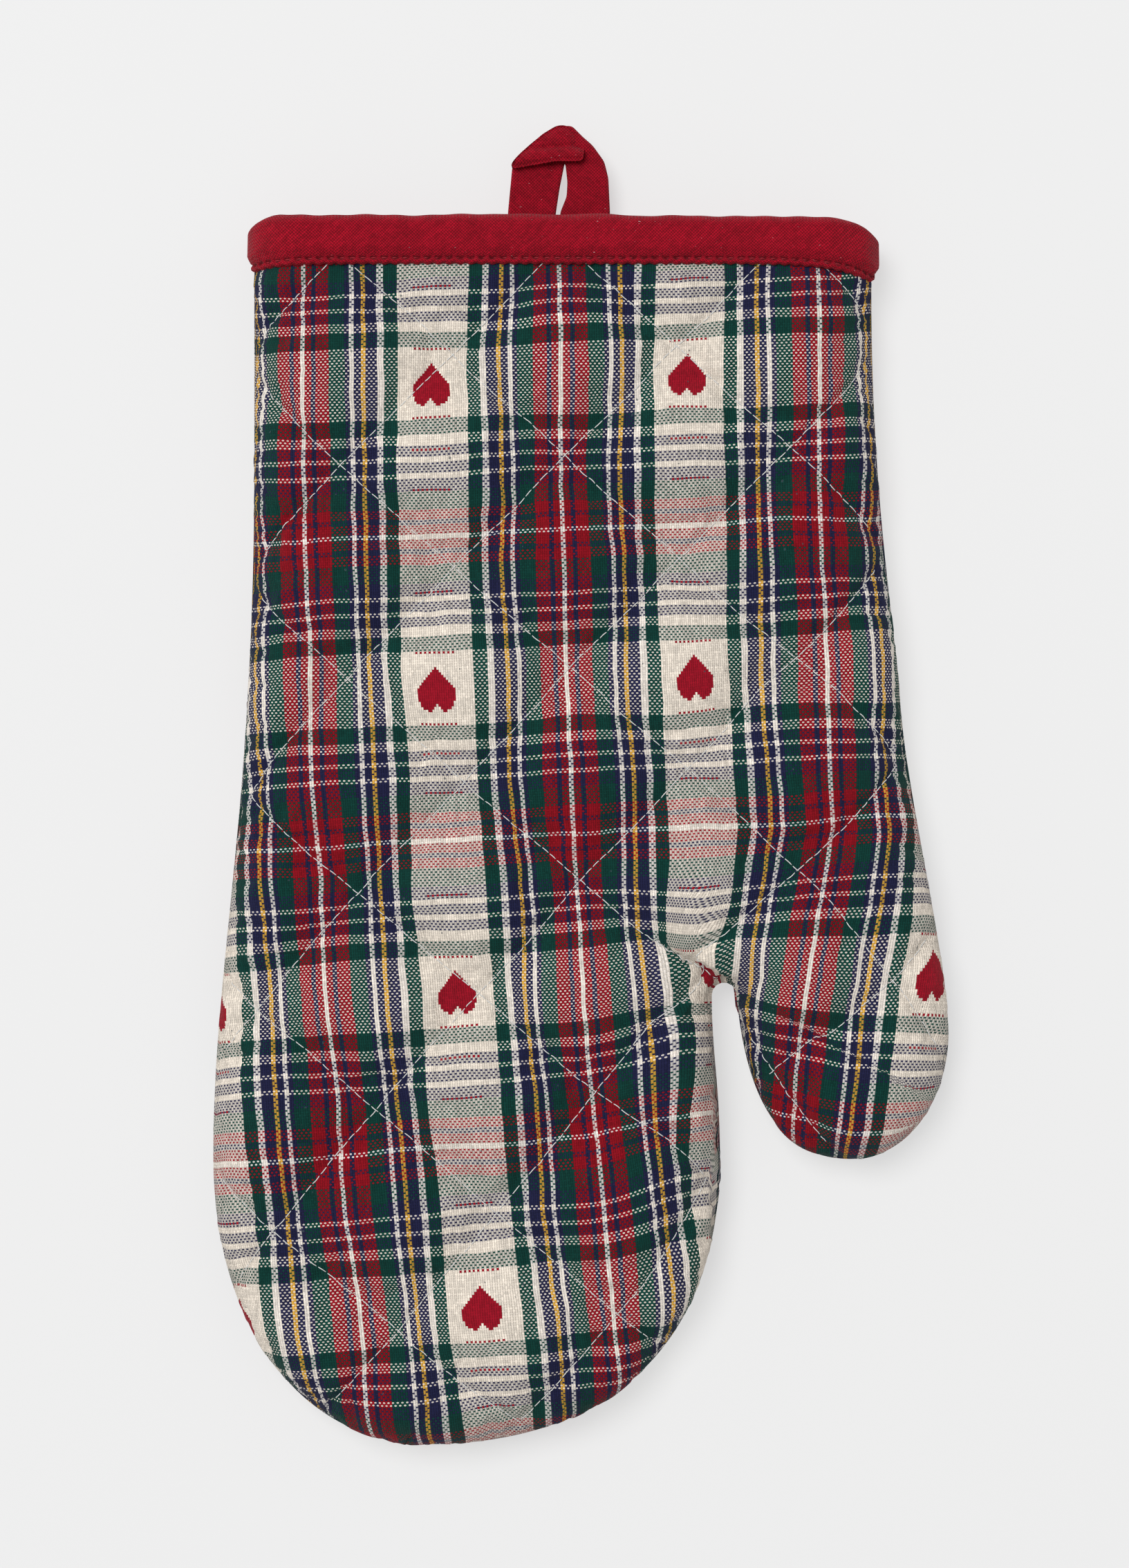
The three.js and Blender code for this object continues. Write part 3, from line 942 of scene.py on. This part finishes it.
def lining_surface(side):
    distance, inward = nearest_on(lining_outline, lining.points)
    angle, length = lining_profile.at(distance)
    u, v = cloth_place(*lining.points.T)
    gap = np.minimum(*quilt_gaps(u, v))
    height = CAVITY * np.sin(angle) + (0.3 - 0.5 * (1 - np.exp(-gap / 5))) * ramp(length, 0, 6)
    return np.column_stack([lining.points, height * SIDES[side]])


for side in SIDES:
    points = lining_surface(side)
    for section, label in SECTIONS.items():
        faces = lining_faces[section]
        turned = faces if side == "back" else [face[::-1] for face in faces]
        piece = make_object(f"lining_{side}_{label}", points, turned, lining.points)
        dress(piece, cream_cloth)
        nodes = [f"{side}_lining_{section}"]
        if section == "palm" and side == "front":
            nodes.append("front_lining_cuff")
        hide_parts(*nodes)
        follow(piece, section)


class Strip:
    """Quads between insets of the outline, for the margins turned inside along the seam."""

    def __init__(self, distances):
        self.points = np.concatenate([inset(outline, distance) for distance in distances])
        self.rim = np.zeros(len(self.points), bool)
        count = len(outline)
        self.faces = []
        for k in range(len(distances) - 1):
            self.faces += band_faces(k * count, (k + 1) * count, count)


margin = Strip([1.2, 2.4, 3.6, 4.8, 6.0])
cut(margin, (0, WALL_END - 1), (0, 1), drop=True)
margin_faces = faces_by_section(margin, cut_sections(margin))
margin_wave = waves(40, 10, 8, 20)(*margin.points.T)
for section, label in SECTIONS.items():
    inset_at = nearest_on(outline, margin.points)[0]
    height = 0.25 + 0.3 * ramp(inset_at, 1, 6) * (1 + margin_wave)
    points = np.concatenate([np.column_stack([margin.points, sign * height]) for sign in SIDES.values()])
    faces = both_sides(margin_faces[section], len(margin.points))
    piece = make_object("seam_margin_" + label, points, faces, np.tile(margin.points, (2, 1)))
    dress(piece, plain_cloth_material("margin_cloth_" + label, linear(214, 204, 186)))
    nodes = {"palm": ["palm_left", "palm_right", "crotch"]}.get(section, [section])
    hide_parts(*["seam_allowance_" + node for node in nodes])
    follow(piece, section)


# ---- Binding folded over the mouth ----
BINDING_PROUD = 1.7      # how far the tape stands out from the wall
BINDING_UNDER = 0.8      # and how far its inner side stands out from the lining
FRONT_HEIGHT, BACK_HEIGHT = 13.9, 13.6
INNER_END = -12.6        # level of the inner side's lip
RING_STEP = 0.46         # mesh spacing round the mouth
FOLD = 3.2               # height of the rounded fold at the binding's top edge
STITCH_PITCH = 2.6
STITCH_UP = 1.7          # topstitching stands this far above the lower edge
CORNER_LEFT, CORNER_RIGHT = 8.0, 11.5    # radii of the binding's rounded corners


def mouth_ring():
    """Outer and inner curves round the mouth, in x and z, front wall first from right to left."""
    angle = np.linspace(0, math.pi / 2, 80)
    inwards, rise = 1 - np.cos(angle), np.sin(angle)
    both = np.column_stack([
        CUFF_HALF_WIDTH - SHOULDER * inwards, HALF_HEIGHT * rise,
        CUFF_HALF_WIDTH - WALL_DEPTH - LINING_SHOULDER * inwards, CAVITY * rise,
    ])
    front = np.concatenate([both, both[::-1] * (-1, 1, -1, 1)])
    ring = np.concatenate([front, front[-2:0:-1] * (1, -1, 1, -1), front[:1]])
    return resample(ring, RING_STEP)[:-1]


class Binding:
    """The tape's section at each ring round the mouth, puckered in step with the stitches."""

    def __init__(self):
        ring = mouth_ring()
        self.out = ring[:, :2]
        self.away = self.out - ring[:, 2:]
        self.depth = np.linalg.norm(self.away, axis=1)
        self.away /= self.depth[:, None]
        steps = np.linalg.norm(np.roll(self.out, -1, 0) - self.out, axis=1)
        self.along = np.concatenate([[0], np.cumsum(steps)[:-1]])
        self.perimeter = steps.sum()
        self.stitches = round(self.perimeter / STITCH_PITCH)
        self.phase = self.along / self.perimeter * self.stitches
        side = np.clip(np.abs(self.out[:, 0]) / CUFF_HALF_WIDTH, 0, 1) ** 8
        front = ramp(self.out[:, 1], -4, 4)
        on_left = self.out[:, 0] < 0
        self.height = (FRONT_HEIGHT + side * np.where(on_left, 1.0, 3.8)) * front + BACK_HEIGHT * (1 - front)
        inwards = CUFF_HALF_WIDTH + BINDING_PROUD - np.abs(self.out[:, 0])
        corner = np.where(on_left, CORNER_LEFT, CORNER_RIGHT)
        reach = np.clip(corner - inwards, 0, corner)
        self.drop = 0.85 * (corner - np.sqrt(corner**2 - reach**2))
        self.drop += 1.2 * ramp(np.abs(self.out[:, 1]), 0, HALF_HEIGHT)
        self.drop += 0.4 + 0.5 * ramp(self.out[:, 0], 0, 60)

    def point(self, k, offset, y):
        """A point of ring k, offset outwards from the wall, at height y before the corners are rounded."""
        y = -self.drop[k] + y * (self.height[k] - self.drop[k]) / self.height[k]
        x, z = self.out[k] + self.away[k] * offset
        return (x, y, z)

    def section(self, k, wobble):
        """Offsets and heights across the tape, from the outer lip over the fold to the inner lip."""
        height, depth = self.height[k], self.depth[k]
        pinch = 0.5 + 0.5 * math.cos(2 * math.pi * self.phase[k])
        lip = -height - 0.12 + 0.42 * pinch
        down = np.concatenate([[0, 0.25, 0.6, 1.0, 1.35], np.linspace(STITCH_UP, height - FOLD, 14)])
        places = [0, 0.25, 0.6, 1.0, STITCH_UP, 2.3, 4.5, height - FOLD]
        proud = [-0.5, 0.35, 0.75, 0.8, pinch - 0.5, 0.8, BINDING_PROUD + 0.1, BINDING_PROUD]
        offset = np.interp(down, places, proud)
        stretch = (-FOLD - lip) / (height - FOLD)
        outer = [(o + wobble[0] * ramp(d, 2, 6), lip + d * stretch) for o, d in zip(offset, down)]
        angle = np.linspace(0, math.pi, 15)[1:-1]
        middle = (BINDING_PROUD - depth - BINDING_UNDER) / 2
        half = BINDING_PROUD - middle + wobble[0]
        fold = [(middle + half * math.cos(t), (FOLD + wobble[1]) * math.sin(t) - FOLD) for t in angle]
        inner = [(-depth - BINDING_UNDER + 0.3 * (y < -11), y) for y in np.linspace(-FOLD, INNER_END, 12)]
        return outer + fold + inner + [(-depth + 0.4, INNER_END - 0.1)]


binding = Binding()


def binding_mesh():
    soft = waves(61, 14, 7, 26)
    points = []
    for k in range(len(binding.out)):
        wobble = (0.32 * soft(binding.along[k], 0.0), 0.28 * soft(binding.along[k], 90.0))
        points.append([binding.point(k, *at) for at in binding.section(k, wobble)])
    points = np.array(points)
    rings, width = points.shape[:2]
    across = np.cumsum(np.linalg.norm(np.diff(points, axis=1), axis=2).mean(0))
    cloth = np.column_stack([np.repeat(binding.along, width), np.tile(np.append(0, across), rings)])
    faces = [[k * width + j, k * width + j + 1, (k + 1) % rings * width + j + 1, (k + 1) % rings * width + j]
             for k in range(rings) for j in range(width - 1)]
    return on_floor(points.reshape(-1, 3)), faces, cloth


points, faces, cloth = binding_mesh()
mouth_binding = make_object("mouth_binding", points, faces, cloth)
binding_tape = tape_material("binding_tape", tone=0.97, stitch_pitch=binding.perimeter / binding.stitches)
dress(mouth_binding, binding_tape)
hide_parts("front_binding", "back_binding")
follow(mouth_binding, "palm")


def stitch_row(tubes, offset, y, lift, proud=0.42):
    """Running stitches all round the mouth, one to each pucker of the binding."""
    count = len(binding.out)
    arch = np.sin(np.linspace(0, math.pi, 6))
    for n in range(binding.stitches):
        share = (n + np.linspace(0.12, 0.88, 6)) / binding.stitches
        rings = np.round(share * count).astype(int) % count
        out = lift * (-0.1 + proud * arch**0.7)
        path = [binding.point(k, offset(k) + rise, y(k)) for k, rise in zip(rings, out)]
        tubes.add(path, [(binding.away[k][0] * lift, 0, binding.away[k][1] * lift) for k in rings])


topstitch = Tubes(RED_THREAD_RADIUS)
stitch_row(topstitch, lambda k: -0.25, lambda k: STITCH_UP - binding.height[k], 1)
stitch_row(topstitch, lambda k: -binding.depth[k] - BINDING_UNDER, lambda k: -10.6, -1, proud=0.2)
binding_topstitch = topstitch.make("binding_topstitch")
dress(binding_topstitch, red_thread)
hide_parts("front_binding_topstitch", "back_binding_topstitch")
follow(binding_topstitch, "palm")


# ---- Hanging loop: tape folded over to a point ----
TAPE_Z = local((0, 0, (loop_lo.z + loop_hi.z) / 2))[2]
TAPE_STEP = 0.42         # mesh spacing of the tape


def tape_edge(corners):
    """A closed outline through corner points whose second coordinate is down, its corners softened.

    The corner points are as seen from the view, at the height of the side seam.
    """
    corners = np.array(corners, float)[::-1] * (1, -1)
    corners = VIEW_CENTRE + (corners - VIEW_CENTRE) * (1 - TAPE_Z / VIEW_HEIGHT)
    line = resample(np.vstack([corners, corners[:1]]), TAPE_STEP)[:-1]
    for _ in range(3):
        line = (np.roll(line, 1, 0) + 2 * line + np.roll(line, -1, 0)) / 4
    return line


def tape_slab(corners, thickness, middle, seed):
    """A flattened length of folded tape inside an outline: points, faces and places in its weave."""
    edge = tape_edge(corners)
    profile = Profile(min(1.1, thickness * 0.75), thickness / 2)
    slab = Sheet(edge, profile, TAPE_STEP, rings=2)
    distance, _ = nearest_on(edge, slab.points)
    angle, _ = profile.at(distance)
    x, y = slab.points.T
    ripple = waves(seed, 12, 3, 9)(x, y) * 0.2
    shapes = []
    for sign in (1, -1):
        shapes.append(np.column_stack([x, y, middle(x, y) + ripple + sign * thickness / 2 * np.sin(angle)]))
    return np.concatenate(shapes), both_sides(slab.faces, len(x)), np.tile(slab.points, (2, 1))


LEFT_LEG = [
    (-13.4, 0), (-12.3, -11.6), (-10.4, -14.0), (2.0, -14.5), (0.5, -12.4), (-0.8, -6), (-1.7, 0), (-2.2, 6),
    (-3, 12), (-12.6, 12), (-13.2, 6),
]
RIGHT_LEG = [
    (-0.7, 0), (0.9, -4), (1.1, -7.5), (0.6, -12), (-3, -14.5), (-5.5, -16.6), (-1.4, -20.2), (0.3, -21.2),
    (2.2, -21.2), (4.7, -18.6), (7.3, -16.3), (10.1, -12.5), (11.1, -8.5), (11.5, 0), (11.2, 6), (11, 12),
    (1.0, 12), (-0.2, 6),
]
BAND = [
    (-12.3, -10.9), (-7.3, -11.7), (-1.9, -12.6), (4.5, -12.6), (4.8, -15.4), (4.0, -17.6), (1.6, -20.2),
    (0.2, -20.8), (-1.4, -20.6), (-4.4, -18.8), (-9.3, -14.6), (-12.0, -11.6),
]


def band_middle(x, y):
    """The folded-over band: a soft roll below its crease, sloping down above it into the right leg."""
    roll = 0.9 * np.sin(np.clip((y - 11.2) / (5.2 + 0.08 * x), 0, 1) * math.pi)
    tucked = 1.25 * ramp(y, 14.6, 16.6) * ramp(x, 1.5, 4.5)
    crease = 0.55 * bell(y - 16.6 - 0.07 * x, 0.5) * ramp(x, -9, -6)
    return TAPE_Z + 2.1 + roll - crease - 0.15 * np.clip(y - 16.5, 0, None) - tucked


tape_parts = [
    (LEFT_LEG, 1.3, lambda x, y: TAPE_Z - 0.1 - 0.02 * x, 71),
    (RIGHT_LEG, 1.5, lambda x, y: TAPE_Z + 0.5 + 0.7 * ramp(y, 12, 17) * ramp(x, -2, 6), 72),
    (BAND, 1.7, band_middle, 73),
]
points, faces, cloth = [], [], []
for corners, thickness, middle, seed in tape_parts:
    part = tape_slab(corners, thickness, middle, seed)
    first = sum(len(p) for p in points)
    faces += [[v + first for v in face] for face in part[1]]
    points.append(part[0])
    cloth.append(part[2])
loop_piece = make_object("hanging_loop_tape", np.concatenate(points), faces, np.concatenate(cloth))
dress(loop_piece, tape)
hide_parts("hanging_loop", "loop_end_1", "loop_end_2")
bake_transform(loop_piece)

tacks = Tubes(RED_THREAD_RADIUS)
for x0, x1 in ((-12, -3.6), (1.2, 10.6)):
    for x in np.arange(x0, x1, 0.42):
        path = (x, -7.2, 0.8), (x + 0.1, -7.6, 1.25), (x + 0.2, -8.6, 1.3), (x + 0.3, -9.2, 0.8)
        tacks.add([(a, b, TAPE_Z + c) for a, b, c in path], [(0, 0, 1)] * 4)
bar_tacks = tacks.make("loop_bar_tacks")
dress(bar_tacks, red_thread)
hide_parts("loop_bar_tack_1", "loop_bar_tack_2")
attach(bar_tacks, "palm")

# ---- Floor, light and camera, in metres ----
FLOOR_HALF = 12.0
corners = np.array([(-1, -1, 0), (1, -1, 0), (1, 1, 0), (-1, 1, 0)]) * FLOOR_HALF
floor, _ = link_mesh("floor", corners, [[0, 1, 2, 3]])
floor.data.materials.append(Material("floor", {
    "Base Color": (0.28, 0.28, 0.28, 1), "Emission Color": (1, 1, 1, 1), "Emission Strength": 0.59,
    "Roughness": 0.9, "Specular IOR Level": 0.1,
}).material)

sky = bpy.data.worlds.new("sky")
sky.use_nodes = True
background = sky.node_tree.nodes["Background"].inputs
background["Color"].default_value = (1, 1, 1, 1)
background["Strength"].default_value = 0.38
scene.world = sky

key_data = bpy.data.lights.new("key", "AREA")
key_data.shape, key_data.size, key_data.energy = "DISK", 1.6, 67
key = link_object("key", key_data)
key.location = (-0.85, 0.9, 2.9)
key.rotation_euler = (-key.location).to_track_quat("-Z", "Y").to_euler()

scene.view_settings.view_transform = "Standard"
scene.view_settings.look = "None"

VIEW_LENGTH = 382.2      # millimetres from top to bottom of the picture, at the height of the side seam
camera_data = bpy.data.cameras.new("camera")
camera_data.sensor_fit = "VERTICAL"
camera_data.sensor_height = 36
camera_data.lens = 36 * VIEW_HEIGHT / VIEW_LENGTH
camera = link_object("camera", camera_data)
camera.location = world((*VIEW_CENTRE, VIEW_HEIGHT))
bpy.context.scene.camera = camera
